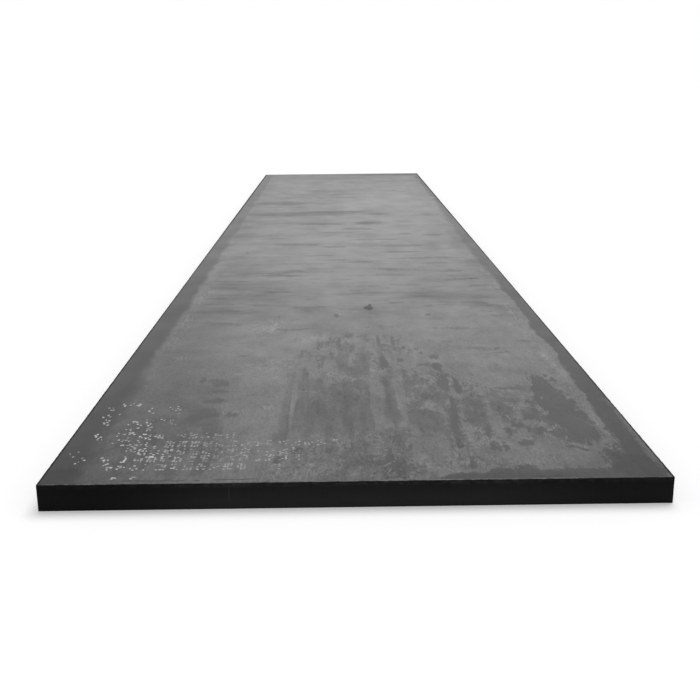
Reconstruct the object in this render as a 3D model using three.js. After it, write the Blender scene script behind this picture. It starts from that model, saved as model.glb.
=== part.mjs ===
// A hot-rolled heavy steel plate, gas-cut to size on all four sides and lying flat.
// X runs across the rolling direction, Y along it, and Z up through the thickness.
// The origin is the middle of the underside. All sizes are in millimetres.
import * as THREE from 'three';

// The plate as it is sold: thickness x width x length.
const THICKNESS = 100;
const WIDTH = 2230;
const LENGTH = 11620;

// The gas-cut edge, the same along the two long sides and the two ends.
const MELTED_ARRIS_RADIUS = 3; // top arris, melted round by the preheating flame
const LOWER_ARRIS_RADIUS = 1; // bottom arris, left almost sharp where the slag breaks off
const CUT_HOLLOW_DEPTH = 1.2; // how deep the oxygen jet scours the cut face
const CUT_HOLLOW_HEIGHT = 62; // height above the underside at which the hollow is deepest
const CORNER_RADIUS = 4; // upright corner where two cuts meet

// How finely the curves are stepped.
const PROFILE_STEPS = 2;
const CORNER_STEPS = 2;

// The upright profile of the cut edge, from the underside to the top face.
// x is how far the edge stands in from the plate's full size, and y is the height.
function cutEdgeProfile() {
  const shoulder = THICKNESS - MELTED_ARRIS_RADIUS;
  const profile = new THREE.Path();
  profile.absarc(
    LOWER_ARRIS_RADIUS, LOWER_ARRIS_RADIUS, LOWER_ARRIS_RADIUS,
    -Math.PI / 2, -Math.PI, true,
  );
  profile.splineThru([
    new THREE.Vector2(CUT_HOLLOW_DEPTH, CUT_HOLLOW_HEIGHT),
    new THREE.Vector2(0, shoulder),
  ]);
  profile.absarc(
    MELTED_ARRIS_RADIUS, shoulder, MELTED_ARRIS_RADIUS,
    Math.PI, Math.PI / 2, true,
  );
  return profile.getPoints(PROFILE_STEPS);
}

// The plate seen from above, standing in by the given amount on every side.
// The points run anticlockwise, and every such outline has as many of them.
function planOutline(inset) {
  const cornerX = WIDTH / 2 - inset - CORNER_RADIUS;
  const cornerY = LENGTH / 2 - inset - CORNER_RADIUS;
  const outline = new THREE.Path();
  [[1, 1], [-1, 1], [-1, -1], [1, -1]].forEach(([sideX, sideY], quarter) => {
    const start = quarter * Math.PI / 2;
    outline.absarc(
      sideX * cornerX, sideY * cornerY, CORNER_RADIUS,
      start, start + Math.PI / 2, false,
    );
  });
  return outline.getPoints(CORNER_STEPS);
}

// The faces between each outline and the next one up.
function cutFaces(levels, ringSize) {
  const faces = [];
  for (let level = 0; level < levels - 1; level += 1) {
    const lower = level * ringSize;
    const upper = lower + ringSize;
    for (let i = 0; i < ringSize; i += 1) {
      const next = (i + 1) % ringSize;
      faces.push(lower + i, lower + next, upper + next);
      faces.push(lower + i, upper + next, upper + i);
    }
  }
  return faces;
}

// A flat rolled face that fills one outline. first is its first vertex.
function rolledFace(outline, first, facesUp) {
  return THREE.ShapeUtils.triangulateShape(outline, []).flatMap(([a, b, c]) => (
    facesUp ? [first + a, first + b, first + c] : [first + a, first + c, first + b]
  ));
}

// Lofts the plan outline up the profile of the cut edge, and closes the loft
// with the two rolled faces.
function plateGeometry() {
  const profile = cutEdgeProfile();
  const outlines = profile.map((step) => planOutline(step.x));
  const ringSize = outlines[0].length;
  const levels = outlines.length;
  const positions = outlines.flatMap((outline, level) => (
    outline.flatMap((point) => [point.x, point.y, profile[level].y])
  ));

  const geometry = new THREE.BufferGeometry();
  geometry.setAttribute('position', new THREE.Float32BufferAttribute(positions, 3));
  geometry.setIndex([
    ...rolledFace(outlines[0], 0, false),
    ...cutFaces(levels, ringSize),
    ...rolledFace(outlines[levels - 1], (levels - 1) * ringSize, true),
  ]);
  geometry.computeVertexNormals();
  return geometry;
}

// Grey-black mill scale, which covers the whole plate.
function millScale() {
  return new THREE.MeshStandardMaterial({ color: 0x6b6c6d, roughness: 0.55, metalness: 0.35 });
}

const plate = new THREE.Group();
const steelPlate = new THREE.Mesh(plateGeometry(), millScale());
steelPlate.name = 'steel_plate';
plate.add(steelPlate);

export default plate;
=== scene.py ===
import math
import random

import bpy
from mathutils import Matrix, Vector, noise


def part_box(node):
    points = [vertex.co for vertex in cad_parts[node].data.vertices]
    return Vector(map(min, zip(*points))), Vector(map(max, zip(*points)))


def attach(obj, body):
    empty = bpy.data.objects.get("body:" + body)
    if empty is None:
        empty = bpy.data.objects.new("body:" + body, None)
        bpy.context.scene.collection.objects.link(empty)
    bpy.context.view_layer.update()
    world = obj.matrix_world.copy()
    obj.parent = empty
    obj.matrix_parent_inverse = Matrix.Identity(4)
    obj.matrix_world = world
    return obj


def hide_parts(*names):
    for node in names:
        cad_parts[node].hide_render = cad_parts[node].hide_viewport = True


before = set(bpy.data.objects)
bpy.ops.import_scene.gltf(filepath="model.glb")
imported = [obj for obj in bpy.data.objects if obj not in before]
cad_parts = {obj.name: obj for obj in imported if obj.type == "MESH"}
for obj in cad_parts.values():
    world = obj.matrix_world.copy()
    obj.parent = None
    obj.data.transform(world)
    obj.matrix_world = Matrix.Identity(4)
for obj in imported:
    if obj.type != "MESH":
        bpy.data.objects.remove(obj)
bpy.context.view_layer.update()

# ---------------------------------------------------------------- the rolled and gas-cut slab
# One slab of carbon steel, hot-rolled along its length and gas-cut square on all four sides.
# The torch melts the top arris round, scours upright drag lines down the cut face, and
# leaves a lumpy crust just under the top and small beads of slag along the bottom.
low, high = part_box("steel_plate")
WIDTH = high.x - low.x
LENGTH = high.y - low.y
THICKNESS = high.z - low.z
TOP = THICKNESS - 0.0003          # the rolled face, under room for its paint
RELIEF_ROOM = 0.0014              # the cut face lies in by this much, so its lumps stay inside
MELTED_ARRIS = 0.003
LOWER_ARRIS = 0.001
CORNER_ROUND = 0.004
RIM = 0.06                        # the strip of the rolled faces that follows the cut edge
RIM_RINGS = (RIM, 0.030, 0.012)   # how far inside the arris its rings lie, on the top
ARRIS_TURNS = (0, 30, 60, 90)     # the rings round the melted arris, in degrees
CORNER_SEGMENTS = 3
END_CUTS = (20, 20)               # a short side is cut twice over, into steps of about 5 mm
SIDE_CUTS = (27, 27)              # a long side likewise, into steps of about 15 mm
CELL = 0.06                       # the mesh of the rolled top inside the rim
FACE_ROWS = 12                    # the rings down the cut face
TOLERANCE = 1e-6


def edge_profile():
    """The rings from the top's rim to the underside's: how far in each lies, and how high."""
    rings = [(inset, TOP) for inset in RIM_RINGS]
    for turn in ARRIS_TURNS:
        sine, cosine = math.sin(math.radians(turn)), math.cos(math.radians(turn))
        rings.append((MELTED_ARRIS * (1 - sine), TOP - MELTED_ARRIS * (1 - cosine)))
    face = TOP - MELTED_ARRIS - LOWER_ARRIS
    rings += [(0, LOWER_ARRIS + face * (1 - row / FACE_ROWS)) for row in range(1, FACE_ROWS + 1)]
    rings += [(LOWER_ARRIS, 0), (RIM, 0)]
    return [(inset + RELIEF_ROOM, height) for inset, height in rings]


def select_along(mesh, axis):
    """Selects, in edit mode, the edges that run along X (0) or Y (1)."""
    bpy.ops.object.mode_set(mode="OBJECT")
    for edge in mesh.edges:
        start, end = (mesh.vertices[i].co for i in edge.vertices)
        edge.select = abs(start[1 - axis] - end[1 - axis]) < TOLERANCE
    bpy.ops.object.mode_set(mode="EDIT")


rings = edge_profile()
inset, height = rings[0]
width, length = WIDTH - 2 * inset, LENGTH - 2 * inset

# The outline of the top's rim, with round corners, cut into short steps.
bpy.ops.object.select_all(action="DESELECT")
bpy.ops.mesh.primitive_plane_add(size=1, location=(0, 0, height))
plate = bpy.context.object
plate.name = plate.data.name = "hot_rolled_plate"
plate.scale = (width, length, 1)
bpy.ops.object.transform_apply(location=True, rotation=False, scale=True)
bpy.ops.object.mode_set(mode="EDIT")
bpy.ops.mesh.select_mode(type="EDGE")
bpy.ops.mesh.select_all(action="SELECT")
bpy.ops.mesh.bevel(offset=CORNER_ROUND, segments=CORNER_SEGMENTS, affect="VERTICES")
bpy.ops.mesh.select_all(action="SELECT")
bpy.ops.mesh.delete(type="ONLY_FACE")
for axis, repeats in enumerate((END_CUTS, SIDE_CUTS)):
    for cuts in repeats:
        select_along(plate.data, axis)
        bpy.ops.mesh.subdivide(number_cuts=cuts)

# The outline is drawn out over the arris and down the cut face, ring by ring.
bpy.ops.mesh.select_all(action="SELECT")
for next_inset, next_height in rings[1:]:
    next_width, next_length = WIDTH - 2 * next_inset, LENGTH - 2 * next_inset
    bpy.ops.mesh.extrude_edges_move(
        TRANSFORM_OT_translate={"value": (0, 0, next_height - height)}
    )
    bpy.ops.transform.resize(
        value=(next_width / width, next_length / length, 1), center_override=(0, 0, 0)
    )
    width, length, height = next_width, next_length, next_height

# The underside is one flat face. The top is a mesh of cells, tied to the rim all round.
bpy.ops.mesh.edge_face_add()
inner_width, inner_length = WIDTH - 4 * RIM, LENGTH - 4 * RIM
bpy.ops.mesh.select_all(action="DESELECT")
bpy.ops.mesh.primitive_grid_add(
    x_subdivisions=round(inner_width / CELL), y_subdivisions=round(inner_length / CELL),
    size=1, location=(0, 0, TOP)
)
bpy.ops.transform.resize(value=(inner_width, inner_length, 1), center_override=(0, 0, 0))
bpy.ops.mesh.select_all(action="DESELECT")
bpy.ops.mesh.select_non_manifold()
bpy.ops.mesh.fill(use_beauty=True)
bpy.ops.mesh.select_all(action="SELECT")
bpy.ops.mesh.normals_make_consistent(inside=False)
bpy.ops.object.mode_set(mode="OBJECT")

# Which faces are rolled and which are cut, and where each lies on the flat map of the piece:
# the two halves of the top, the underside, then the long sides and the ends as thin strips.
UPWARD, FLAT = 0.5, 0.6           # how far a face looks up, for its strip and for its finish
STRIPS = {"top near": (0.0, 0.37), "top far": (0.38, 0.75), "underside": (0.765, 0.875),
          "left": (0.885, 0.915), "right": (0.925, 0.955), "end": (0.965, 0.995)}
TOP_SPAN, LONG_SPAN, END_SPAN = 0.985, 0.99, 0.48       # how much of the map's length
MARGIN = 0.005                    # where the top starts on it
chart = plate.data.uv_layers.new(name="OFBake")
for face in plate.data.polygons:
    toward, middle = face.normal, face.center
    far = middle.y > 0
    if toward.z > UPWARD:
        strip = "top far" if far else "top near"
    elif toward.z < -UPWARD:
        strip = "underside"
    elif abs(toward.x) > abs(toward.y):
        strip = "right" if toward.x > 0 else "left"
    else:
        strip = "end"
    floor_v, ceiling_v = STRIPS[strip]
    for corner in face.loop_indices:
        x, y, z = plate.data.vertices[plate.data.loops[corner].vertex_index].co
        if strip in ("left", "right", "end"):
            across = z / THICKNESS
        else:
            across = x / WIDTH + 0.5
        if strip == "end":
            along = 0.25 + END_SPAN * x / WIDTH + (0.5 if far else 0)
        elif strip.startswith("top"):
            along = MARGIN + TOP_SPAN * (y / (LENGTH / 2) + (0 if far else 1))
        else:
            along = 0.5 + LONG_SPAN * y / LENGTH
        chart.data[corner].uv = (along, floor_v + (ceiling_v - floor_v) * across)
    face.material_index = 0 if abs(toward.z) > FLAT else 1

# The fine relief. What comes so many to the metre is noise of that scale.
WAVE_DEPTH = 0.0004               # how deep the rolled top's long waves are
LONG_WAVES, SHORT_WAVES = 0.9, 2.6            # to the metre
MELT_REACH = 0.03                 # how far in from the cut the flame has touched the top
MELT_DEPTH = 0.0012
MELT_LUMPS, MELT_GRAINS = 45, 120             # to the metre
CRUST_REACH = 0.022               # how far down the cut face the crust goes
CRUST_DEPTH = 0.0012
CRUST_KNOBS, CRUST_GRAINS = 60, 160           # to the metre
DRAG_DEPTH = 0.0003
DRAG_LINES, TORCH_WANDERS = 110, 3            # to the metre
DRAG_LAG = 0.012                  # how far a drag line trails behind by the bottom
BEAD_REACH = 0.005                # how far up the cut face the slag's beads go
BEAD_DEPTH = 0.0009
BEADS = 90                        # to the metre
CORNER_ZONE = 0.01                # how near a corner the relief turns to face out of it
SMOOTH_UNDER = 40                 # degrees


def lumps(x, y, z, per_metre):
    """Smooth lumps, from about -1 to 1, that come so many to the metre."""
    return noise.noise(Vector((x, y, z)) * per_metre)


def top_dip(x, y, inset):
    """How far the top lies under its highest level: long waves, and the melt beside the cut."""
    waves = (0.5 + 0.3 * lumps(x, y * 0.6, 4, LONG_WAVES)
             + 0.2 * lumps(x, y * 0.7, 9, SHORT_WAVES))
    touched = max(0, 1 - inset / MELT_REACH) ** 2
    melt = max(0, 0.5 + lumps(x, y, 2, MELT_LUMPS) + 0.6 * lumps(x, y, 5, MELT_GRAINS))
    return WAVE_DEPTH * waves + MELT_DEPTH * touched * melt


def cut_bite(x, y, z):
    """How far the cut face is bitten in: drag lines, the torch's wander, crust and slag beads."""
    trail = DRAG_LAG * (1 - z / TOP) ** 2
    drag = lumps(x + trail, y + trail, z * 0.05, DRAG_LINES)
    wander = lumps(x, y, z + 7, TORCH_WANDERS)
    crust = max(0, 1 - (TOP - z) / CRUST_REACH)
    bead = max(0, 1 - z / BEAD_REACH) * max(0, lumps(x, y, 3, BEADS))
    knobs = lumps(x, y, z * 1.5, CRUST_KNOBS) + 0.5 * lumps(x, y, z, CRUST_GRAINS)
    return DRAG_DEPTH * (drag + wander) + CRUST_DEPTH * crust * knobs - BEAD_DEPTH * bead


core_x, core_y = WIDTH / 2 - CORNER_ZONE, LENGTH / 2 - CORNER_ZONE
for vertex in plate.data.vertices:
    x, y, z = vertex.co
    inset = min(WIDTH / 2 - abs(x), LENGTH / 2 - abs(y))
    if z > TOP - MELTED_ARRIS - TOLERANCE:
        vertex.co.z -= top_dip(x, y, inset)
    if inset < RELIEF_ROOM + MELTED_ARRIS and z > 0:
        core = Vector((max(-core_x, min(core_x, x)), max(-core_y, min(core_y, y))))
        outward = (Vector((x, y)) - core).normalized()
        bite = max(-RELIEF_ROOM, cut_bite(x, y, z))
        vertex.co.xy -= outward * bite

bpy.ops.object.select_all(action="DESELECT")
plate.select_set(True)
bpy.context.view_layer.objects.active = plate
bpy.ops.object.shade_smooth_by_angle(angle=math.radians(SMOOTH_UNDER))


class Finish:
    """A material whose patterns are worked out from the piece's own place, in metres."""

    def __init__(self, name):
        self.material = bpy.data.materials.new(name)
        self.material.use_nodes = True
        self.tree = self.material.node_tree
        self.shader = self.tree.nodes["Principled BSDF"]
        self.place = self.node("ShaderNodeTexCoord").outputs["Object"]
        across, along, up = self.node("ShaderNodeSeparateXYZ", Vector=self.place).outputs
        self.across, self.along, self.up = across, along, up

    def node(self, kind, settings=(), **inputs):
        """A new node. settings are its own options, and inputs go to the sockets of that name."""
        node = self.tree.nodes.new(kind)
        for option, value in dict(settings).items():
            setattr(node, option, value)
        for socket, value in inputs.items():
            self.feed(node.inputs[socket.replace("_", " ")], value)
        return node

    def feed(self, socket, value):
        """Links a value that varies over the piece, or sets one that doesn't."""
        if isinstance(value, bpy.types.NodeSocket):
            self.tree.links.new(value, socket)
        else:
            socket.default_value = value

    def maths(self, operation, *values):
        """The result of one Math node."""
        node = self.node("ShaderNodeMath", {"operation": operation})
        for socket, value in zip(node.inputs, values):
            self.feed(socket, value)
        return node.outputs[0]

    def joined(self, operation, values):
        """The first value and each one after it in turn, joined by the operation."""
        result = values[0]
        for value in values[1:]:
            result = self.maths(operation, result, value)
        return result

    def total(self, *values):
        """All of the values added up."""
        return self.joined("ADD", values)

    def times(self, *values):
        """All of the values multiplied."""
        return self.joined("MULTIPLY", values)

    def mixed(self, start, *parts):
        """The start with patterns added to it. Each part is (pattern, how much of it)."""
        return self.total(start, *[self.times(pattern, share) for pattern, share in parts])

    def strongest(self, *values):
        """The highest of the values, place by place."""
        return self.joined("MAXIMUM", values)

    def turned_over(self, value):
        """1 where the value is 0, and 0 where it is 1."""
        return self.maths("SUBTRACT", 1.0, value)

    def ramp(self, value, start, end, low=0.0, high=1.0):
        """low where the value is under start, high where it's over end, and smooth between."""
        node = self.node("ShaderNodeMapRange", {"interpolation_type": "SMOOTHSTEP"})
        for socket, given in zip(node.inputs, (value, start, end, low, high)):
            self.feed(socket, given)
        return node.outputs[0]

    def steps(self, value, *ramps):
        """Several ramps of one value added up. Each is (start, end, low, high)."""
        return self.total(*[self.ramp(value, *ramp) for ramp in ramps])

    def stretch(self, start, full, fading, end, left=0.0):
        """1 along a stretch of the length, and smooth down to 0 before it and left after it."""
        return self.times(self.ramp(self.along, start, full),
                          self.ramp(self.along, fading, end, 1.0, left))

    def cloud(self, per_metre, detail=4.0, roughness=0.55, shift=0.0):
        """Cloudy noise about 0, mostly from -0.5 to 0.5. per_metre is how fine, along X, Y, Z."""
        spread = self.node("ShaderNodeMapping", Vector=self.place,
                           Location=(shift, shift, shift), Scale=per_metre)
        grain = self.node("ShaderNodeTexNoise", Vector=spread.outputs[0], Scale=1.0,
                          Detail=detail, Roughness=roughness)
        return self.maths("MULTIPLY_ADD", grain.outputs[0], 2.0, -1.0)

    def patches(self, place, ovals):
        """The strongest of a list of oval patches: 1 at a patch's middle, 0.5 along its outline."""
        field = 0.0
        for x, y, half_width, half_length in ovals:
            spread = self.node("ShaderNodeMapping", {"vector_type": "TEXTURE"}, Vector=place,
                               Location=(x, y, TOP), Scale=(2 * half_width, 2 * half_length, 1))
            ball = self.node("ShaderNodeTexGradient", {"gradient_type": "SPHERICAL"},
                             Vector=spread.outputs[0])
            field = self.maths("MAXIMUM", ball.outputs["Fac"], field)
        return field

    def shaken(self, reach, per_metre, detail=3.0):
        """The piece's own place, pushed about by noise as far as reach along X, Y and Z."""
        spread = self.node("ShaderNodeMapping", Vector=self.place, Scale=per_metre)
        grain = self.node("ShaderNodeTexNoise", Vector=spread.outputs[0], Scale=1.0,
                          Detail=detail)
        push = self.node("ShaderNodeVectorMath", {"operation": "MULTIPLY_ADD"})
        self.feed(push.inputs[0], grain.outputs["Color"])
        self.feed(push.inputs[1], [2 * part for part in reach])
        self.feed(push.inputs[2], [-part for part in reach])
        moved = self.node("ShaderNodeVectorMath", {"operation": "ADD"})
        self.feed(moved.inputs[0], self.place)
        self.feed(moved.inputs[1], push.outputs[0])
        return moved.outputs[0]

    def grey(self, level):
        """A neutral colour as light as a value that varies over the piece."""
        mix = self.node("ShaderNodeCombineColor")
        for socket in mix.inputs:
            self.feed(socket, level)
        return mix.outputs[0]

    def bump(self, height, depth):
        """Raises or sinks the surface by the height, which is 1 for depth metres."""
        relief = self.node("ShaderNodeBump", Height=height, Distance=depth, Strength=1.0)
        self.feed(self.shader.inputs["Normal"], relief.outputs[0])


# The rolled top. A pale dusty film lies over grey-black mill scale, which is dull and bare
# along both edges, in ragged patches where water has stood, and in bands and streaks.
# The ovals are (x, y, half the width, half the length), in metres.
POOLS = (
    # the long pool beside the right edge
    (0.856, -4.66, 0.037, 0.10), (0.86, -4.82, 0.055, 0.17), (0.872, -5.00, 0.085, 0.20),
    (0.878, -5.20, 0.085, 0.20), (0.895, -5.36, 0.062, 0.12),
    # the wet near corner, and a thin dark line along the near edge further left
    (1.03, -5.66, 0.09, 0.20), (1.07, -5.36, 0.06, 0.22), (0.985, -5.67, 0.075, 0.12),
    (-0.70, -5.79, 0.14, 0.008), (-0.42, -5.785, 0.08, 0.006),
    # a row right of the middle, and the darkest parts of the column left of it
    (0.42, -4.40, 0.025, 0.08), (0.42, -4.66, 0.029, 0.13), (0.475, -4.73, 0.016, 0.14),
    (0.43, -4.98, 0.012, 0.14), (0.41, -5.24, 0.018, 0.17), (0.163, -4.34, 0.018, 0.10),
    (0.15, -5.69, 0.04, 0.095),
)
NEAR_EDGE = (                     # the wet line along the near edge
    (0.40, -5.80, 0.10, 0.055), (0.52, -5.80, 0.07, 0.09), (0.61, -5.80, 0.06, 0.12),
    (0.70, -5.80, 0.09, 0.075), (0.82, -5.80, 0.12, 0.085), (0.95, -5.80, 0.12, 0.10),
    (0.65, -5.80, 0.36, 0.05),
)
SPOTS = (                         # small spots and drips
    (0.42, -4.22, 0.026, 0.055), (0.82, -5.51, 0.022, 0.014), (0.76, -5.10, 0.022, 0.10),
    (0.84, -5.45, 0.03, 0.035), (0.87, -5.53, 0.018, 0.012), (0.84, -5.52, 0.024, 0.01),
    (0.945, -5.62, 0.02, 0.05), (0.43, -5.66, 0.012, 0.06), (0.60, -5.72, 0.016, 0.04),
    (0.76, -5.74, 0.03, 0.03), (0.95, -5.56, 0.018, 0.04), (0.40, -5.46, 0.014, 0.06),
    (0.53, -4.99, 0.036, 0.06), (0.50, -5.13, 0.034, 0.07), (0.49, -5.20, 0.035, 0.04),
    (0.53, -5.32, 0.016, 0.08), (0.535, -5.49, 0.022, 0.05), (0.64, -5.06, 0.042, 0.08),
    (0.685, -4.94, 0.03, 0.03), (0.655, -5.46, 0.03, 0.035), (0.72, -5.15, 0.026, 0.04),
    (0.60, -4.98, 0.016, 0.04), (0.66, -5.24, 0.026, 0.04), (0.61, -5.33, 0.014, 0.05),
    (0.575, -5.49, 0.012, 0.05), (0.76, -4.97, 0.024, 0.04), (0.745, -5.32, 0.02, 0.04),
    (0.70, -5.30, 0.012, 0.04), (0.16, -4.25, 0.016, 0.05), (0.155, -4.66, 0.016, 0.06),
    (0.16, -4.88, 0.014, 0.06), (0.17, -5.40, 0.02, 0.08), (0.13, -5.60, 0.016, 0.05),
    (0.33, -4.86, 0.03, 0.05), (0.36, -4.77, 0.016, 0.04), (0.29, -5.08, 0.02, 0.025),
    (0.25, -4.28, 0.018, 0.04), (0.34, -4.07, 0.011, 0.02), (0.15, -3.90, 0.012, 0.12),
    (0.23, -3.90, 0.011, 0.12), (-0.06, -3.93, 0.012, 0.10), (0.28, -4.04, 0.01, 0.04),
    (0.47, -3.30, 0.018, 0.03), (-0.07, -3.30, 0.018, 0.05), (-0.79, -1.06, 0.01, 0.04),
    (-0.22, -5.51, 0.018, 0.04), (-0.28, -5.59, 0.02, 0.035), (0.36, -4.14, 0.01, 0.03),
    (0.45, -4.55, 0.012, 0.05), (0.56, -4.88, 0.014, 0.03), (0.79, -5.20, 0.026, 0.06),
    (0.805, -5.36, 0.028, 0.05), (0.09, -5.63, 0.04, 0.026), (0.06, -5.57, 0.024, 0.018),
    (0.93, -4.64, 0.012, 0.05), (0.91, -4.57, 0.01, 0.02), (0.13, -5.53, 0.012, 0.05),
    (0.21, -5.47, 0.01, 0.04),
)
DAMP = (                          # soft damp marks right of the middle
    (-0.06, -5.10, 0.17, 0.24), (-0.04, -4.86, 0.05, 0.22), (-0.285, -4.98, 0.02, 0.22),
    (-0.27, -5.22, 0.036, 0.12), (0.03, -5.22, 0.07, 0.10), (-0.13, -5.05, 0.05, 0.14),
    (-0.21, -5.02, 0.035, 0.28), (-0.19, -5.17, 0.04, 0.14), (-0.18, -4.67, 0.08, 0.075),
    (-0.30, -5.36, 0.04, 0.06), (-0.04, -4.28, 0.022, 0.20), (0.06, -4.36, 0.024, 0.24),
    (0.166, -4.88, 0.021, 0.48), (0.29, -5.17, 0.065, 0.11), (0.33, -5.29, 0.04, 0.03),
    (0.41, -5.26, 0.022, 0.20), (0.25, -4.70, 0.02, 0.12), (0.33, -4.84, 0.05, 0.10),
    (0.53, -5.02, 0.045, 0.09), (0.65, -5.08, 0.03, 0.05), (0.75, -5.12, 0.025, 0.08),
    (0.68, -4.42, 0.05, 0.07), (0.50, -5.21, 0.04, 0.06), (-0.60, -5.16, 0.09, 0.06),
    (0.15, -5.44, 0.035, 0.14), (0.03, -5.60, 0.07, 0.09), (0.06, -5.49, 0.06, 0.06),
    (0.00, -5.53, 0.04, 0.05), (-0.02, -4.02, 0.05, 0.06),
)
FLAT_MARKS = (                    # crisp flat marks among them
    (-0.035, -4.84, 0.042, 0.20), (-0.045, -5.02, 0.05, 0.08), (0.03, -5.20, 0.08, 0.10),
    (-0.19, -4.72, 0.08, 0.04), (0.162, -4.57, 0.024, 0.035), (0.162, -4.70, 0.018, 0.025),
    (0.172, -4.85, 0.022, 0.06), (0.155, -4.96, 0.012, 0.015), (0.172, -5.12, 0.024, 0.11),
    (0.28, -4.66, 0.05, 0.03), (0.30, -4.78, 0.03, 0.04), (0.30, -5.16, 0.07, 0.11),
    (-0.215, -5.06, 0.022, 0.12), (-0.16, -5.00, 0.018, 0.08), (0.03, -4.50, 0.03, 0.08),
    (-0.04, -4.26, 0.03, 0.10), (0.50, -5.16, 0.05, 0.06), (0.04, -4.30, 0.03, 0.04),
    (0.34, -4.90, 0.04, 0.05), (0.65, -4.93, 0.04, 0.03), (-0.02, -3.98, 0.018, 0.06),
    (-0.22, -4.50, 0.016, 0.08), (-0.272, -5.12, 0.014, 0.035),
)
SMUDGES = (                       # a ladder of smudges on the left
    (-0.63, -4.60, 0.04, 0.045), (-0.60, -4.65, 0.04, 0.04), (-0.60, -4.77, 0.042, 0.022),
    (-0.61, -4.91, 0.055, 0.028), (-0.59, -4.90, 0.038, 0.032), (-0.63, -5.03, 0.062, 0.036),
    (-0.60, -5.08, 0.04, 0.05), (-0.65, -5.12, 0.05, 0.06), (-0.69, -4.58, 0.012, 0.05),
    (-0.51, -5.08, 0.024, 0.034),
)
CROSS_MARKS = (                   # short streaks across the length
    (0.68, -4.07, 0.12, 0.03), (0.70, -4.74, 0.10, 0.018), (0.92, -3.93, 0.04, 0.022),
    (0.87, -3.33, 0.09, 0.028), (0.76, -3.05, 0.12, 0.04), (0.58, -2.98, 0.20, 0.03),
    (0.48, -3.08, 0.05, 0.026), (0.50, -2.78, 0.06, 0.034), (0.40, -2.68, 0.07, 0.03),
    (0.56, -2.56, 0.22, 0.034), (0.84, -2.62, 0.09, 0.034), (0.11, -2.45, 0.10, 0.03),
    (0.45, -2.41, 0.12, 0.04), (0.90, -2.46, 0.05, 0.03), (-0.83, -2.58, 0.10, 0.036),
    (-0.72, -2.67, 0.12, 0.04), (-0.62, -2.80, 0.10, 0.044), (-0.82, -2.78, 0.08, 0.034),
    (-0.58, -2.98, 0.24, 0.03), (-0.86, -2.95, 0.06, 0.034), (0.34, -2.06, 0.12, 0.034),
    (-0.62, -2.06, 0.28, 0.032), (-0.40, -1.92, 0.15, 0.044), (0.45, -1.85, 0.24, 0.05),
    (0.75, -1.93, 0.10, 0.034), (-0.42, -1.57, 0.18, 0.042), (-0.72, -1.62, 0.12, 0.036),
    (0.12, -1.52, 0.14, 0.042), (0.72, -1.62, 0.14, 0.036), (0.60, -1.37, 0.26, 0.038),
    (-0.08, -1.42, 0.10, 0.036), (-0.80, -1.38, 0.12, 0.05), (0.90, -1.74, 0.07, 0.034),
    (0.45, -0.76, 0.16, 0.044), (-0.08, -0.80, 0.09, 0.044), (-0.42, -0.66, 0.24, 0.046),
    (0.55, -0.12, 0.06, 0.07), (0.12, 0.22, 0.12, 0.05), (-0.15, 0.02, 0.40, 0.045),
    (0.55, -3.62, 0.10, 0.03), (-0.70, -3.48, 0.12, 0.03), (0.20, -2.90, 0.10, 0.03),
    (-0.52, -4.17, 0.20, 0.014), (0.72, -4.17, 0.10, 0.014), (-0.30, -3.62, 0.16, 0.02),
    (-0.20, -1.22, 0.20, 0.036), (0.50, -1.08, 0.20, 0.036), (-0.60, -0.35, 0.16, 0.05),
    (0.30, -0.42, 0.22, 0.046), (0.78, -0.20, 0.08, 0.06), (0.72, -2.22, 0.14, 0.03),
)
BANDS = (                         # broad bands across it
    (-0.12, 1.35, 0.40, 0.15), (-0.70, 1.32, 0.50, 0.16), (0.30, 1.28, 0.14, 0.10),
    (-0.24, 0.58, 0.22, 0.06), (0.22, 0.62, 0.12, 0.08), (-0.70, 2.26, 0.32, 0.16),
)
FAINT_BANDS = (
    (-0.28, 2.22, 0.18, 0.13), (-0.55, 2.80, 0.34, 0.10), (0.05, 2.76, 0.30, 0.07),
    (-0.12, 3.45, 0.28, 0.18), (0.24, 3.58, 0.26, 0.14), (0.00, 5.35, 0.80, 0.20),
    (0.92, 1.15, 0.14, 0.12), (0.93, 0.65, 0.07, 0.06), (0.54, 4.65, 0.16, 0.12),
    (-0.55, 0.64, 0.40, 0.06), (-0.68, 5.30, 0.16, 0.20), (0.30, 1.60, 0.12, 0.20),
    (-0.06, 3.15, 0.30, 0.12), (-0.60, 1.92, 0.30, 0.08),
)
WIPED = (                         # columns wiped pale
    (0.108, -4.82, 0.029, 0.38), (0.212, -4.72, 0.021, 0.42), (-0.42, -4.85, 0.11, 0.80),
    (0.58, -5.18, 0.026, 0.22), (0.63, -5.26, 0.03, 0.04), (0.47, -4.86, 0.02, 0.06),
    (0.35, -5.55, 0.07, 0.18), (0.70, -4.62, 0.10, 0.10), (0.70, -5.55, 0.20, 0.12),
    (0.455, -5.30, 0.014, 0.20), (-0.11, -4.45, 0.02, 0.24), (0.56, -4.30, 0.12, 0.22),
    (0.46, -4.52, 0.014, 0.06), (-0.256, -4.86, 0.009, 0.40), (-0.06, -4.56, 0.04, 0.08),
    (0.23, -5.45, 0.034, 0.06), (0.29, -5.58, 0.04, 0.12), (0.35, -4.45, 0.03, 0.05),
    (-0.11, -5.65, 0.07, 0.08),
)
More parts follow.
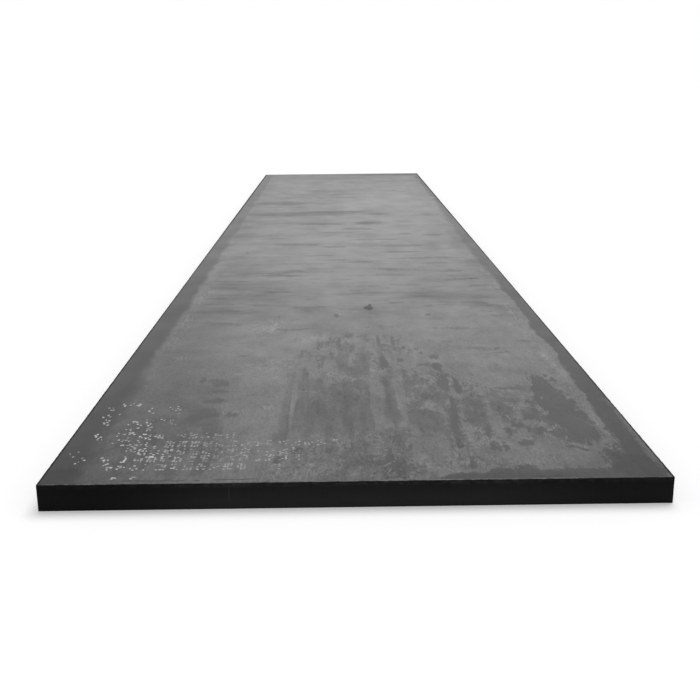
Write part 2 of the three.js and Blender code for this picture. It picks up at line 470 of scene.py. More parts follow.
PALE_PATCHES = (                  # thick dust
    (1.02, -1.78, 0.02, 0.10), (1.01, -2.10, 0.025, 0.12), (0.95, -2.60, 0.02, 0.05),
    (1.00, -3.60, 0.02, 0.08), (0.90, -3.55, 0.03, 0.05), (0.99, -4.25, 0.02, 0.24),
    (0.99, -4.62, 0.022, 0.20), (0.985, -5.12, 0.016, 0.14), (-0.945, -1.60, 0.04, 0.18),
    (-0.955, -2.06, 0.035, 0.22), (-0.95, -2.50, 0.04, 0.09), (-0.945, -3.10, 0.03, 0.12),
    (-0.47, -3.60, 0.06, 0.12), (-0.95, -3.22, 0.04, 0.13), (-0.95, -3.75, 0.035, 0.12),
    (-0.95, -4.08, 0.045, 0.08), (-0.55, -4.52, 0.022, 0.03), (-0.45, -4.15, 0.04, 0.05),
    (-0.52, -4.33, 0.03, 0.04), (-0.36, -5.00, 0.02, 0.03), (-0.32, -4.60, 0.025, 0.05),
    (-0.10, -4.52, 0.014, 0.05), (0.10, -4.44, 0.015, 0.05), (0.27, -5.67, 0.02, 0.03),
    (0.20, -4.98, 0.01, 0.10), (0.32, -5.72, 0.03, 0.02), (0.46, -4.52, 0.012, 0.04),
    (0.97, -4.20, 0.03, 0.05), (0.79, -4.22, 0.01, 0.05), (-0.60, 0.93, 0.42, 0.06),
    (0.10, 2.00, 0.08, 0.30), (0.55, 2.10, 0.06, 0.25), (-0.01, -0.70, 0.035, 0.03),
    (-0.60, -1.18, 0.35, 0.05), (0.80, 4.00, 0.03, 0.30), (1.105, -5.35, 0.01, 0.30),
    (-0.86, -4.30, 0.04, 0.06), (-0.78, -4.20, 0.03, 0.04), (0.10, -5.50, 0.035, 0.05),
    (0.24, -5.60, 0.03, 0.06), (0.34, -5.45, 0.02, 0.12), (-0.40, -4.42, 0.04, 0.05),
    (0.18, -0.55, 0.14, 0.16), (-0.46, -2.36, 0.12, 0.09), (-0.25, -3.03, 0.05, 0.08),
    (-0.24, -2.71, 0.05, 0.06), (0.47, -5.45, 0.02, 0.08),
)
FLECKED = (                       # pale curls of dust
    (-0.86, -4.22, 0.07, 0.12), (-0.80, -4.44, 0.07, 0.04), (-0.54, -4.50, 0.04, 0.05),
    (-0.36, -4.55, 0.05, 0.05), (-0.12, -4.52, 0.07, 0.06), (0.02, -4.60, 0.05, 0.06),
    (0.10, -4.44, 0.02, 0.07), (-0.38, -4.98, 0.02, 0.03), (0.34, -4.95, 0.05, 0.07),
    (0.46, -4.55, 0.02, 0.07), (0.28, -5.70, 0.06, 0.04), (0.80, -5.30, 0.03, 0.05),
    (-0.06, -3.27, 0.05, 0.05), (0.48, -3.31, 0.05, 0.05), (-0.42, -3.55, 0.10, 0.26),
    (-0.93, -3.30, 0.06, 0.40), (-0.90, -2.60, 0.05, 0.25), (0.98, -2.00, 0.03, 0.35),
    (0.97, -3.20, 0.04, 0.45), (0.97, -4.30, 0.03, 0.25), (0.92, -3.52, 0.05, 0.08),
    (-0.50, -5.05, 0.10, 0.06), (0.50, -5.30, 0.03, 0.10), (-0.20, -3.85, 0.20, 0.12),
)
# Where broad shade and broad light lie, and where the film is blotched or broken to speckle.
SHADES = (
    (-0.82, -5.00, 0.38, 0.66), (-0.88, -3.80, 0.17, 1.00), (-0.84, -4.85, 0.14, 0.55),
    (-0.74, -2.74, 0.24, 0.24), (-1.00, -5.72, 0.16, 0.22), (0.62, -2.74, 0.30, 0.20),
    (-0.30, 5.60, 0.90, 0.60), (0.95, -5.75, 0.22, 0.20), (-0.82, -1.90, 0.17, 0.60),
    (0.99, -0.80, 0.07, 1.00),
)
BRIGHT = (
    (0.10, -1.05, 0.90, 0.75), (0.20, -0.10, 0.90, 0.80), (0.10, -2.90, 0.50, 0.50),
    (0.45, 2.00, 0.60, 0.90), (-0.30, -3.90, 0.50, 0.50), (0.62, -4.20, 0.30, 0.50),
    (-0.05, -2.10, 0.60, 0.60), (0.50, -3.60, 0.45, 0.45), (0.15, -4.10, 0.45, 0.45),
    (0.40, 0.70, 0.70, 0.70), (-0.41, -5.15, 0.15, 0.75), (0.78, -3.00, 0.20, 0.25),
    (-0.50, -2.20, 0.30, 0.30), (-0.30, -0.50, 0.60, 0.50), (0.12, -5.40, 0.26, 0.26),
    (0.41, -4.72, 0.12, 0.40), (0.61, -5.10, 0.10, 0.24), (0.18, -3.75, 0.30, 0.30),
    (0.72, -1.25, 0.24, 0.30), (0.29, -5.61, 0.07, 0.12), (0.90, -2.03, 0.06, 0.12),
    (0.47, -4.84, 0.05, 0.10), (-1.13, -4.72, 0.06, 0.22),
)
BRIGHTEST = (
    (0.05, -1.55, 0.35, 0.75), (0.02, -2.35, 0.25, 0.40), (0.10, -0.40, 0.50, 0.60),
    (0.72, -1.25, 0.28, 0.36),
)
DIMMED = (
    (-0.84, -4.45, 0.16, 0.30), (-0.90, -4.80, 0.12, 0.35), (-0.82, -5.35, 0.16, 0.40),
    (0.81, -4.75, 0.12, 0.20), (0.99, -5.00, 0.10, 0.20), (0.99, -3.30, 0.08, 0.25),
    (-0.97, -5.24, 0.07, 0.16), (-0.36, -4.06, 0.05, 0.06), (-0.92, -5.06, 0.07, 0.24),
    (-0.90, -3.35, 0.05, 0.10), (-0.35, -4.47, 0.05, 0.06), (0.96, -4.48, 0.04, 0.16),
    (-0.94, -5.78, 0.06, 0.05), (-0.60, -1.65, 0.10, 0.10), (-0.38, -3.03, 0.04, 0.06),
    (1.03, 4.80, 0.08, 0.80), (1.03, 3.20, 0.08, 0.50), (-0.90, 0.30, 0.10, 0.80),
)
BLOTCHED = (
    (0.36, -4.98, 0.48, 0.62), (0.02, -4.12, 0.24, 0.34), (-0.70, -5.45, 0.30, 0.30),
    (0.62, -5.02, 0.24, 0.40), (0.35, -4.85, 0.14, 0.20), (0.08, -5.58, 0.20, 0.20),
)
BROKEN = (
    (-0.38, -4.32, 0.16, 0.12), (-0.36, -4.99, 0.05, 0.05), (-0.12, -4.52, 0.08, 0.07),
    (0.10, -4.48, 0.03, 0.10), (-0.05, -3.27, 0.07, 0.06), (0.48, -3.32, 0.06, 0.06),
    (0.26, -3.92, 0.10, 0.12), (-0.86, -4.22, 0.08, 0.14), (0.35, -4.58, 0.10, 0.08),
    (0.42, -5.42, 0.12, 0.10), (0.63, -5.08, 0.10, 0.14), (0.80, -5.30, 0.03, 0.06),
    (0.03, -5.55, 0.14, 0.24), (0.32, -4.86, 0.06, 0.12), (-0.05, -4.56, 0.08, 0.10),
    (-0.12, -5.55, 0.10, 0.12), (-0.94, -3.60, 0.05, 0.60), (-0.47, -3.60, 0.09, 0.25),
    (0.98, -2.40, 0.03, 0.40), (0.98, -3.40, 0.03, 0.40), (0.18, -5.68, 0.14, 0.14),
    (-0.95, -2.70, 0.05, 0.40), (0.62, -3.60, 0.12, 0.12), (-0.60, -5.50, 0.25, 0.12),
    (0.98, -5.55, 0.05, 0.08), (0.53, -5.08, 0.03, 0.10), (0.05, -5.48, 0.20, 0.22),
    (-0.20, -5.72, 0.20, 0.08), (0.40, -5.64, 0.16, 0.10),
)
RIGHT_BULGES = (
    (1.02, -1.62, 0.08, 0.26), (1.03, -0.60, 0.10, 0.80), (1.05, -5.62, 0.10, 0.20),
    (1.04, -5.22, 0.05, 0.30),
)
RUBBED = ((1.098, -5.40, 0.014, 0.42), (1.09, -5.62, 0.012, 0.08))
WET_CORNERS = ((1.02, -5.72, 0.16, 0.24), (-1.04, -5.78, 0.22, 0.20), (0.65, -5.82, 0.36, 0.06))
OIL_SPOT = ((0.128, -3.10, 0.024, 0.062), (0.136, -3.02, 0.008, 0.035), (0.105, -3.10, 0.01, 0.03))
ARRIS_HIGHLIGHT_WIDTH = 0.004                       # how wide the painted highlight along the near arris is
BAREST = 1.28                     # where 1 is plain bare scale
FILM, BARE_SCALE = 0.079, 0.020   # how light each is
DARKEST = 0.006
SATIN, DULL = 0.31, 0.385         # and how rough
SMOOTHEST = 0.276
GLOSS = 0.2                       # how much light the scale throws back
SCALE_GRAIN = 0.00006             # how deep its finest grain is

mill = Finish("mill_scale")
near_end = mill.ramp(mill.along, -4.2, 1.5, 1.0, 0.0)
near_third = mill.ramp(mill.along, -4.3, -2.6, 1.0, 0.0)
veiled = mill.times(mill.ramp(mill.across, -0.46, -0.26), near_third)

# Noise that pushes outlines about, and grain from broad clouds down to a fine speckle.
ragged = mill.shaken((0.012, 0.032, 0), (14, 5, 1), detail=4)
rippled = mill.shaken((0.020, 0.022, 0), (9, 7, 1), detail=3)
drifting = mill.shaken((0.02, 0.06, 0), (3, 3, 1), detail=4)
lobes = mill.cloud((34, 8, 1), detail=6, roughness=0.66)
crumbs = mill.times(mill.cloud((90, 40, 1), detail=3, roughness=0.7, shift=3),
                    mill.mixed(0.20, (near_third, 0.80)))
cross_grain = mill.cloud((3.2, 8, 1), detail=3, roughness=0.64, shift=5)
long_grain = mill.cloud((24, 1.7, 1), detail=6, roughness=0.62, shift=11)
broad_grain = mill.cloud((1.6, 2.1, 1), detail=3, roughness=0.6, shift=19)
far_off = mill.ramp(mill.along, -2.4, -0.6)
grain = mill.total(mill.times(cross_grain, mill.turned_over(far_off)),
                   mill.times(broad_grain, far_off))
banded = mill.cloud((1.6, 5, 1), detail=3, roughness=0.60, shift=7)
clouds = mill.cloud((1.3, 0.9, 1), detail=5, roughness=0.6, shift=13)
mottle = mill.cloud((5, 3, 1), detail=6, roughness=0.70, shift=15)
soft_mottle = mill.cloud((5, 3, 1), detail=2, roughness=0.5, shift=15)
speckle = mill.cloud((110, 36, 1), detail=2, roughness=0.6, shift=17)
flakes = mill.cloud((17, 6, 1), detail=7, roughness=0.68, shift=45)
flaked = mill.total(mill.steps(flakes, (-0.14, -0.11), (0.02, 0.05), (0.17, 0.20)), -1.5)
chips = mill.cloud((46, 18, 1), detail=5, roughness=0.70, shift=49)
chipped = mill.total(mill.steps(chips, (-0.22, -0.18), (0.17, 0.21)), -1.0)


def frayed(ovals, lobed, crumbled, place=ragged):
    """A list's patches, with outlines as lobed and as crumbled as the two amounts say."""
    return mill.mixed(mill.patches(place, ovals), (lobes, lobed), (crumbs, crumbled))


# Standing water has left pools with crisp ragged outlines, and softer damp marks.
broken = mill.ramp(mill.mixed(mill.patches(ragged, BROKEN), (mottle, 0.5)), 0.35, 0.7)
pools = mill.strongest(frayed(POOLS, 0.6, mill.total(0.18, broken)),
                       frayed(NEAR_EDGE, 0.15, 0.25, place=rippled))
dried = mill.times(mill.ramp(pools, 0.30, 0.42), mill.ramp(pools, 0.44, 0.52, 1.0, 0.0),
                   near_end)
spots = mill.mixed(frayed(SPOTS, 0.5, 0.7), (chips, 0.4))
pools = mill.strongest(mill.ramp(pools, 0.43, 0.55), mill.ramp(spots, 0.44, 0.56, 0.0, 0.9))
pools = mill.times(pools, mill.mixed(0.93, (mottle, 0.25)))
damp = mill.mixed(frayed(DAMP, 0.35, 0.3), (long_grain, 0.25))
damp = mill.steps(damp, (0.33, 0.36, 0.0, 0.26), (0.47, 0.50, 0.0, 0.18),
                  (0.61, 0.64, 0.0, 0.10))
flat_marks = mill.mixed(mill.patches(rippled, FLAT_MARKS), (flakes, 0.3), (crumbs, 0.2))
damp = mill.strongest(damp, mill.ramp(flat_marks, 0.43, 0.47, 0.0, 0.62))
damp = mill.times(damp, mill.mixed(0.9, (mottle, 0.6)))
blotch_zone = mill.ramp(mill.patches(mill.place, BLOTCHED), 0.1, 0.6)
blotches = mill.mixed(mill.cloud((17, 6, 1), detail=6, roughness=0.68, shift=21),
                      (blotch_zone, 0.24), (crumbs, 0.25))
blotches = mill.times(mill.ramp(blotches, 0.25, 0.29), blotch_zone, 0.62)
smudges = mill.steps(frayed(SMUDGES, 0.6, 0.5), (0.10, 0.80, 0.0, 0.56),
                     (0.48, 0.54, 0.0, 0.28))

# Both edges are bare, for 13 to 16 cm on the left and 8 cm on the right.
left_inset = mill.total(mill.across, WIDTH / 2)
right_inset = mill.maths("SUBTRACT", WIDTH / 2, mill.across)
far_inset = mill.maths("SUBTRACT", LENGTH / 2, mill.along)
wander = mill.times(mill.cloud((4, 1.8, 1), detail=7, roughness=0.72, shift=9), 0.075)
wander = mill.mixed(wander, (lobes, 0.015))
from_left, from_right = mill.total(left_inset, wander), mill.total(right_inset, wander)
soft_left = mill.ramp(mill.along, -4.6, -3.8, 0.085, 0.028)
wet_left = mill.ramp(mill.along, -4.8, -3.4, 0.160, 0.127)
left_bare = mill.ramp(from_left, mill.maths("SUBTRACT", wet_left, soft_left),
                      mill.total(wet_left, soft_left), 1.0, 0.0)
left_bare = mill.times(left_bare, mill.mixed(0.80, (near_end, 0.42)))
left_tail = mill.ramp(from_left, 0.11, 0.30, 0.30, 0.0)
soft_right = mill.stretch(-2.6, -1.6, 1.0, 3.0, left=0.35)
narrower = mill.ramp(mill.along, 0.5, 3.5, 0.0, 0.022)
bulge = mill.times(mill.ramp(mill.patches(mill.place, RIGHT_BULGES), 0.0, 1.0), -0.035)
right_bare = mill.ramp(mill.total(from_right, narrower, bulge),
                       mill.mixed(0.074, (soft_right, -0.03)),
                       mill.mixed(0.096, (soft_right, 0.035)), 1.0, 0.0)
right_bare = mill.times(right_bare, mill.mixed(0.82, (near_end, 0.28)))
far_bare = mill.times(mill.ramp(mill.total(far_inset, wander), 0.22, 0.50, 1.0, 0.0),
                      mill.ramp(mill.across, -0.6, 0.6))

# Cross streaks and bands, which the rolls and the cooling bed have left.
marks = mill.mixed(mill.times(mill.patches(drifting, CROSS_MARKS), 0.85),
                   (grain, 1.1), (mill.times(lobes, near_end), 0.7), (mottle, 0.5))
marks = mill.times(mill.ramp(marks, 0.33, 0.58), mill.ramp(mill.along, -0.5, 2.0, 0.54, 0.44))
bands = mill.mixed(mill.patches(drifting, BANDS), (banded, 0.5), (grain, 0.15))
bands = mill.times(mill.ramp(bands, 0.20, 0.72), 0.74)
faint_bands = mill.mixed(mill.patches(drifting, FAINT_BANDS), (banded, 0.5))
faint_bands = mill.times(mill.ramp(faint_bands, 0.15, 0.90), 0.35)
mid_zone = mill.stretch(-4.0, -3.0, -2.2, -0.5)
wide_zone = mill.stretch(-4.0, -3.0, 0.0, 2.0)
fine_streaks = mill.cloud((4.5, 11, 1), detail=2, roughness=0.62, shift=33)
fine_streaks = mill.ramp(fine_streaks, 0.0, 0.40, -0.06, 0.20)
wide_grain = mill.cloud((1.2, 3.6, 1), detail=3, roughness=0.60, shift=37)
loose = mill.total(mill.times(mill.ramp(cross_grain, 0.06, 0.40), 0.30), fine_streaks)
loose = mill.total(mill.times(loose, mid_zone),
                   mill.times(mill.ramp(wide_grain, -0.35, 0.35, -0.22, 0.22), wide_zone))
loose_bands = mill.times(mill.ramp(banded, 0.0, 0.60),
                         mill.ramp(mill.along, -1.5, 1.0, 0.1, 0.25))
scuffs = mill.cloud((9, 15, 1), detail=6, roughness=0.70, shift=61)
scuffs = mill.times(mill.ramp(scuffs, 0.20, 0.27), mill.stretch(-4.4, -3.9, -2.9, -1.8), 0.34)
blocks = mill.cloud((3.4, 1.8, 1), detail=4, roughness=0.60, shift=71)
blocks = mill.steps(blocks, (-0.13, -0.10, -0.10, 0.0), (0.05, 0.08, 0.0, 0.09),
                    (0.18, 0.21, 0.0, 0.10))
blocks = mill.times(blocks, mill.stretch(-4.2, -3.6, 0.5, 2.5, left=0.4))
columns = mill.mixed(long_grain, (crumbs, 0.25), (lobes, 0.15))
columns = mill.steps(columns, (-0.10, -0.04, -0.10, 0.0), (0.06, 0.11, 0.0, 0.13),
                     (0.24, 0.29, 0.0, 0.12))
columns = mill.times(columns, veiled, mill.ramp(mill.across, 0.40, 0.60, 1.0, 0.3))
flecks = mill.cloud((50, 17, 1), detail=4, roughness=0.65, shift=31)
dark_flecks = mill.times(mill.ramp(flecks, 0.24, 0.30), mill.mixed(0.04, (veiled, 0.5)))
pale_flecks = mill.times(mill.ramp(flecks, -0.30, -0.25, 1.0, 0.0), veiled)
shade = mill.mixed(mill.patches(mill.place, SHADES), (mottle, 0.5), (banded, 0.3),
                   (mill.times(cross_grain, mid_zone), 0.6))
shade = mill.ramp(shade, 0.10, 0.80, 0.0, mill.mixed(0.48, (near_third, -0.06)))

# How bare the scale is, from 0 under a full film of dust. Wiped places keep more of the film,
# and the very edge on the near right is rubbed.
wiped = mill.mixed(mill.patches(ragged, WIPED), (long_grain, 0.4))
wiped = mill.ramp(wiped, 0.32, 0.54)
bare = mill.strongest(damp, blotches, marks, bands, faint_bands, left_tail, scuffs)
both = mill.times(mill.maths("MINIMUM", bare, shade), near_third, 0.35)
bare = mill.total(mill.strongest(bare, shade), both)
bare = mill.times(mill.total(bare, loose, loose_bands, columns, dark_flecks, blocks),
                  mill.mixed(1.0, (wiped, -0.75)))
bare = mill.strongest(bare, pools, smudges, left_bare, right_bare, far_bare)
rubbed = mill.ramp(frayed(RUBBED, 0.8, 0.5), 0.3, 0.8, 0.0, 0.65)
bare = mill.times(mill.maths("MINIMUM", bare, BAREST), mill.turned_over(rubbed))
corner = mill.mixed(mill.patches(ragged, WET_CORNERS), (lobes, 0.3))
stain = mill.ramp(corner, 0.70, 0.75)
bare = mill.total(bare, mill.steps(corner, (0.0, 0.9, 0.0, 0.10), (0.38, 0.44, 0.0, 0.10)),
                  mill.times(stain, 0.07))
# A painted highlight along the near arris: paler and less bare, fading towards the right.
arris_highlight = mill.times(mill.ramp(mill.along, ARRIS_HIGHLIGHT_WIDTH - LENGTH / 2, 3 * ARRIS_HIGHLIGHT_WIDTH - LENGTH / 2, 1.0, 0.0),
                 mill.ramp(mill.across, 0.70, 0.90, 1.0, 0.4),
                 mill.ramp(lobes, -0.25, 0.10, 0.3, 0.9))
bare = mill.times(bare, mill.turned_over(arris_highlight))
oil = mill.ramp(mill.mixed(mill.patches(ragged, OIL_SPOT), (lobes, 0.35)), 0.38, 0.58)

# Dust that lies thicker in places, a fine speckle all over, and a painted shade: a near-black line
# along both long edges.
curls = mill.maths("ABSOLUTE", mill.cloud((13, 5, 1), detail=3, roughness=0.6, shift=57))
flecked = mill.mixed(mill.times(mill.patches(ragged, FLECKED), 0.7), (curls, -2.2),
                     (chips, 0.5))
flecked = mill.ramp(flecked, 0.42, 0.54)
pale = mill.ramp(frayed(PALE_PATCHES, 0.5, 0.4), 0.38, 0.62)
rim = mill.maths("MINIMUM", mill.maths("SUBTRACT", from_left, 0.14),
                 mill.maths("SUBTRACT", from_right, 0.09))
rim = mill.times(mill.ramp(rim, -0.005, 0.01), mill.ramp(rim, 0.015, 0.09, 1.0, 0.0))
rim_flecks = mill.ramp(mill.mixed(flecks, (crumbs, 0.6)), -0.06, 0.10, -0.7, 1.0)
rim = mill.times(rim, rim_flecks, mill.total(0.10, near_end))
bright = mill.total(mill.ramp(mill.patches(mill.place, BRIGHT), 0.0, 1.0),
                    mill.ramp(mill.patches(mill.place, BRIGHTEST), 0.0, 1.0, 0.0, 0.6),
                    mill.ramp(mill.patches(mill.place, DIMMED), 0.0, 1.0, 0.0, -0.8))
crackle = mill.cloud((68, 30, 1), detail=2, roughness=0.60, shift=53)
broken_up = mill.total(mill.ramp(mill.total(flecks, crackle), -0.04, 0.04, -0.30, 0.28),
                       mill.ramp(crackle, 0.12, 0.17, 0.0, -0.60),
                       mill.ramp(crackle, -0.21, -0.16, 0.80, 0.0))
pale_streaks = mill.times(mill.ramp(cross_grain, -0.36, -0.10, 1.0, 0.0), mid_zone)
tone = mill.mixed(
    mill.ramp(mill.along, 2.5, 4.5, 1.02, 0.98),
    (clouds, 0.25),
    (soft_mottle, 0.20),
    (mottle, mill.mixed(0.12, (near_end, 0.80))),
    (speckle, mill.mixed(0.03, (near_third, 0.70))),
    (mill.times(crumbs, near_third), 0.40),
    (flaked, mill.mixed(-0.006, (near_third, -0.05), (veiled, -0.06))),
    (chipped, mill.mixed(mill.times(near_third, -0.18), (veiled, -0.12))),
    (pale_flecks, 0.14),
    (flecked, 0.74),
    (mill.strongest(pale, rim), 0.26),
    (wiped, 0.09),
    (bright, 0.30),
    (broken, broken_up),
    (pale_streaks, 0.16),
    (dried, 0.16),
    (oil, -0.8),
    (arris_highlight, 0.30),
)
level = mill.strongest(mill.maths("MULTIPLY_ADD", bare, BARE_SCALE - FILM, FILM), DARKEST)
# Painted shade: near-black over the long arrises and the top beside them, reaching further in
# towards the far end.
painted_edge_shade = mill.total(mill.maths("MINIMUM", left_inset, right_inset), mill.times(crumbs, 0.004),
                   mill.ramp(mill.along, -2.5, 3.0, 0.0, -0.009))
painted_edge_shade = mill.ramp(painted_edge_shade, 0.007, 0.013, 0.06, 1.0)
mill.feed(mill.shader.inputs["Base Color"], mill.grey(mill.times(level, tone, painted_edge_shade)))
rough = mill.mixed(
    mill.maths("MULTIPLY_ADD", bare, DULL - SATIN, SATIN),
    (soft_mottle, -0.05),
    (clouds, -0.03),
    (bright, -0.022),
    (oil, 0.2),
    (stain, 0.06),
    (painted_edge_shade, -0.5),
)
rough = mill.total(rough, mill.ramp(mill.along, 2.8, 4.4, 0.5, 0.507))
mill.feed(mill.shader.inputs["Roughness"], mill.strongest(rough, SMOOTHEST))
mill.shader.inputs["Specular IOR Level"].default_value = GLOSS
mill.bump(mill.times(mill.mixed(mill.times(mottle, 0.5), (speckle, 0.3)),
                     mill.ramp(mill.along, -4.5, -2.0, 1.0, 0.05)), SCALE_GRAIN)

# The cut face, nearly black with burnt scale: drag lines, a crust at the top, soot in between, and
# painted light that makes it lighter towards the bottom.
SOOT_GREY, BLACKEST = 0.0105, 0.003           # how light each is
CRUST_FOOT, CRUST_FULL = 0.024, 0.006         # how far under the top the crust starts and is full
SOOTY_ROUGHNESS, SOOTY_GLOSS = 0.75, 0.08
CUT_GRAIN = 0.00015               # how deep the face's fine grain is

cut = Finish("gas_cut_face")
drag = cut.cloud((130, 130, 5), detail=3, roughness=0.6)
soot = cut.cloud((3, 3, 9), detail=5, roughness=0.65, shift=4)
crust = cut.times(cut.ramp(cut.up, TOP - CRUST_FOOT, TOP - CRUST_FULL),
                  cut.ramp(cut.cloud((45, 45, 70), detail=4, shift=6), -0.25, 0.35))
washed = cut.ramp(cut.cloud((14, 14, 1.5), detail=4, roughness=0.7, shift=8), 0.28, 0.60)
# Darker towards both ends of the face, and painted light: up to 2.3 times lighter at the bottom
# than at the top.
darker_ends_and_painted_light = cut.times(cut.ramp(cut.across, -0.95, -0.4, 0.25, 1.0),
                  cut.ramp(cut.across, 0.4, 1.0, 1.0, 0.45),
                  cut.ramp(cut.up, 0.0, TOP, 2.3, 1.0))
level = cut.mixed(cut.times(darker_ends_and_painted_light, SOOT_GREY), (drag, 0.003), (soot, 0.004),
                  (cut.times(crust, darker_ends_and_painted_light), 0.014), (cut.times(washed, darker_ends_and_painted_light), 0.012))
cut.feed(cut.shader.inputs["Base Color"], cut.grey(cut.strongest(level, BLACKEST)))
cut.feed(cut.shader.inputs["Roughness"],
         cut.mixed(SOOTY_ROUGHNESS, (drag, 0.1), (crust, -0.12)))
cut.shader.inputs["Specular IOR Level"].default_value = SOOTY_GLOSS
cut.bump(cut.mixed(crust, (drag, 0.5)), CUT_GRAIN)

plate.data.materials.append(mill.material)
plate.data.materials.append(cut.material)
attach(plate, "root")
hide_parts("steel_plate")

# ---------------------------------------------------------------- the worn paint
# White marking paint, sprayed on the near left corner while the plate was hot, and mostly
# rubbed off since: rows of broken dabs, and loose flecks where a bigger mark has worn away.
PAINT_DEPTH = 0.00015             # how thick the paint is
SUNK = 0.00005                    # how far it fills the scale's roughness
DAB_ROWS = (                      # y, the first and last x, and how much of the row is left
    (-5.330, -0.68, -0.51, 0.55), (-5.422, -0.71, -0.07, 0.52), (-5.505, -0.85, -0.24, 0.50),
    (-5.577, -0.85, -0.22, 0.52), (-5.657, -0.85, -0.42, 0.62), (-5.657, -0.29, -0.28, 0.80),
)
DAB_PITCH = 0.0485                # from one group of dabs in a row to the next
DAB_COLUMNS, DAB_LINES = (-0.012, 0.0, 0.012), (-0.026, -0.013, 0.0, 0.013, 0.026)
DAB_WEAR = (0.5, 1.2)             # how the groups differ in what is left of them
DAB_WIDTHS, DAB_LENGTHS = (0.0035, 0.0065), (0.004, 0.0065)         # half a dab's
STRAY, TILT = 0.002, 12           # how far a dab lies out of its place, and degrees out of line
FLECK_CLUSTERS = (                # the first and last x and y, how wide it is, and how many flecks
    (-1.03, -4.96, -1.01, -5.20, 0.014, 16), (-1.02, -5.28, -1.01, -5.36, 0.008, 7),
    (-0.99, -4.94, -0.92, -4.94, 0.012, 9), (-0.86, -5.00, -0.85, -5.04, 0.010, 5),
    (-0.85, -5.08, -0.82, -5.26, 0.009, 14), (-0.91, -5.14, -0.88, -5.30, 0.014, 16),
    (-0.78, -4.97, -0.73, -5.06, 0.014, 10), (-0.78, -5.12, -0.73, -5.20, 0.012, 8),
    (-0.92, -5.28, -0.78, -5.36, 0.016, 20), (-0.93, -5.36, -0.80, -5.52, 0.022, 26),
    (-0.84, -5.32, -0.73, -5.35, 0.012, 12), (-0.88, -5.42, -0.70, -5.44, 0.020, 16),
    (-0.93, -5.57, -0.90, -5.66, 0.009, 11), (-0.87, -5.755, -0.84, -5.755, 0.005, 4),
    (-0.80, -5.755, -0.76, -5.755, 0.005, 5), (-1.06, -5.50, -0.99, -5.62, 0.014, 7),
)
FLECK_WIDTHS, FLECK_LENGTHS, FLECK_TILT = (0.002, 0.006), (0.003, 0.009), 40
DAB_SIDES = 7
FIRST_DAB, FIRST_RADIUS = (-0.90, -5.37, 0), 0.004
RAG_ACROSS, RAG_ALONG, RAGS = 0.0015, 0.0025, 300       # how far outlines stray; to the metre

chance = random.Random(5)
bpy.ops.object.select_all(action="DESELECT")
bpy.ops.mesh.primitive_circle_add(vertices=DAB_SIDES, radius=FIRST_RADIUS, fill_type="NGON",
                                  location=FIRST_DAB)
paint = bpy.context.object
paint.name = paint.data.name = "worn_marking_paint"
bpy.ops.object.transform_apply(location=True, rotation=False, scale=False)
bpy.ops.object.mode_set(mode="EDIT")


def daub(x, y, half_width, half_length, turn):
    """Adds one flat dab of paint, turned by so many degrees."""
    bpy.ops.mesh.primitive_circle_add(vertices=DAB_SIDES, radius=1, fill_type="NGON")
    bpy.ops.transform.resize(value=(half_width, half_length, 1), center_override=(0, 0, 0))
    bpy.ops.transform.rotate(value=math.radians(turn), orient_axis="Z", center_override=(0, 0, 0))
    bpy.ops.transform.translate(value=(x, y, 0))


for y, first, last, left in DAB_ROWS:
    for place in range(round((last - first) / DAB_PITCH) + 1):
        x = first + place * DAB_PITCH
        kept = left * chance.uniform(*DAB_WEAR)
        for line in DAB_LINES:
            for column in DAB_COLUMNS:
                if chance.random() < kept:
                    daub(x + column + chance.uniform(-STRAY, STRAY),
                         y + line + chance.uniform(-STRAY, STRAY),
                         chance.uniform(*DAB_WIDTHS), chance.uniform(*DAB_LENGTHS),
                         chance.uniform(-TILT, TILT))
for first_x, first_y, last_x, last_y, spread, count in FLECK_CLUSTERS:
    for _ in range(count):
        way = chance.random()
        daub(first_x + way * (last_x - first_x) + chance.gauss(0, spread),
             first_y + way * (last_y - first_y) + chance.gauss(0, spread),
             chance.uniform(*FLECK_WIDTHS), chance.uniform(*FLECK_LENGTHS),
             chance.uniform(-FLECK_TILT, FLECK_TILT))
bpy.ops.object.mode_set(mode="OBJECT")

# Ragged outlines, laid on the scale's own long waves.
for vertex in paint.data.vertices:
    x, y, z = vertex.co
    x += RAG_ACROSS * lumps(x, y, 1, RAGS)
    y += RAG_ALONG * lumps(x, y, 2, RAGS)
    inset = min(WIDTH / 2 - abs(x), LENGTH / 2 - abs(y))
    vertex.co = x, y, TOP - top_dip(x, y, inset) - SUNK
skin = paint.modifiers.new("thickness", "SOLIDIFY")
skin.thickness = PAINT_DEPTH
skin.offset = 1
bpy.ops.object.select_all(action="DESELECT")
paint.select_set(True)
bpy.context.view_layer.objects.active = paint
bpy.ops.object.modifier_apply(modifier=skin.name)

PAINT_DARKEST, PAINT_ROUGHNESS, PAINT_GLOSS = 0.09, 0.7, 0.2

white = Finish("worn_white_paint")
thin = white.cloud((17, 14, 1), detail=4, roughness=0.7, shift=2)
grit = white.cloud((260, 260, 1), detail=3, roughness=0.7, shift=4)
fresh = white.ramp(white.across, -0.88, -0.60, 0.46, 0.30)
worn_thin = white.mixed(1.0, (thin, 1.6), (grit, 0.8))
white.feed(white.shader.inputs["Base Color"],
           white.grey(white.strongest(white.times(fresh, worn_thin), PAINT_DARKEST)))
white.feed(white.shader.inputs["Roughness"], white.mixed(PAINT_ROUGHNESS, (grit, 0.2)))
white.shader.inputs["Specular IOR Level"].default_value = PAINT_GLOSS
paint.data.materials.append(white.material)
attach(paint, "root")

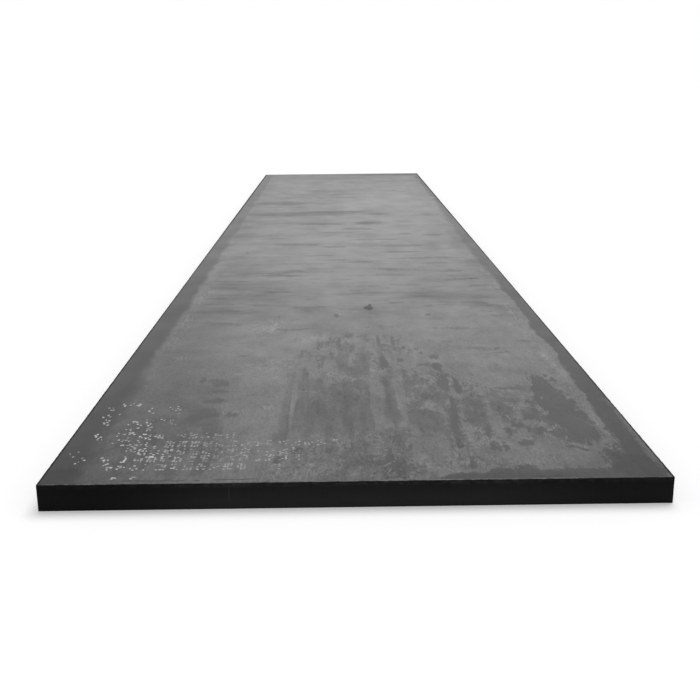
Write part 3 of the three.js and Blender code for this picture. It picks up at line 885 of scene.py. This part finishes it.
# ---------------------------------------------------------------- floor, light and camera
# A pale level floor under soft even light, as in a studio, seen from over the near end. The
# camera, mirrors and glass see the floor and the sky white, and the plate is lit more dimly.
FLOOR_SIZE, FLOOR_GREY, FLOOR_GLOW = 400, 0.8, 0.27
SKY_LIGHT, SKY_SEEN = 0.45, 1.0
SUN_STRENGTH, SUN_SOFTNESS = 1.7, 40          # the softness is the sun's width in degrees
SUN_TILT_X, SUN_TILT_Y = -25, 10
CAMERA_PLACE = (-0.0510, -9.0263, 1.4489)
CAMERA_TURN = (74.751, 0.507, -0.730)         # in degrees
LENS, SENSOR = 51.13, 36                      # in millimetres
WHITE = (1, 1, 1, 1)


def seen(tree):
    """1 for what the camera sees, straight or in a mirror or through glass, and 0 for the rest."""
    path = tree.nodes.new("ShaderNodeLightPath")
    result = path.outputs["Is Camera Ray"]
    for kind in ("Is Glossy Ray", "Is Transmission Ray"):
        either = tree.nodes.new("ShaderNodeMath")
        either.operation = "MAXIMUM"
        tree.links.new(result, either.inputs[0])
        tree.links.new(path.outputs[kind], either.inputs[1])
        result = either.outputs[0]
    return result


bpy.ops.object.select_all(action="DESELECT")
bpy.ops.mesh.primitive_plane_add(size=FLOOR_SIZE, location=(0, 0, 0))
floor = bpy.context.object
floor.name = "studio_floor"
pale_floor = Finish("pale_floor")
pale_floor.shader.inputs["Base Color"].default_value = (FLOOR_GREY, FLOOR_GREY, FLOOR_GREY, 1)
pale_floor.shader.inputs["Roughness"].default_value = 1
pale_floor.shader.inputs["Specular IOR Level"].default_value = 0
pale_floor.shader.inputs["Emission Color"].default_value = WHITE
pale_floor.feed(pale_floor.shader.inputs["Emission Strength"],
                pale_floor.times(seen(pale_floor.tree), FLOOR_GLOW))
floor.data.materials.append(pale_floor.material)

world = bpy.data.worlds.new("studio")
bpy.context.scene.world = world
world.use_nodes = True
sky = world.node_tree.nodes["Background"]
strength = world.node_tree.nodes.new("ShaderNodeMapRange")
strength.inputs["To Min"].default_value = SKY_LIGHT
strength.inputs["To Max"].default_value = SKY_SEEN
world.node_tree.links.new(seen(world.node_tree), strength.inputs["Value"])
world.node_tree.links.new(strength.outputs[0], sky.inputs["Strength"])
sky.inputs["Color"].default_value = WHITE

bpy.ops.object.light_add(type="SUN", location=(0, 0, 5),
                         rotation=(math.radians(SUN_TILT_X), math.radians(SUN_TILT_Y), 0))
sun = bpy.context.object
sun.data.energy = SUN_STRENGTH
sun.data.angle = math.radians(SUN_SOFTNESS)

bpy.ops.object.camera_add(location=CAMERA_PLACE,
                          rotation=[math.radians(angle) for angle in CAMERA_TURN])
camera = bpy.context.object
camera.data.lens = LENS
camera.data.sensor_width = SENSOR
camera.data.clip_end = 500
bpy.context.scene.camera = camera
bpy.context.scene.view_settings.view_transform = "Standard"
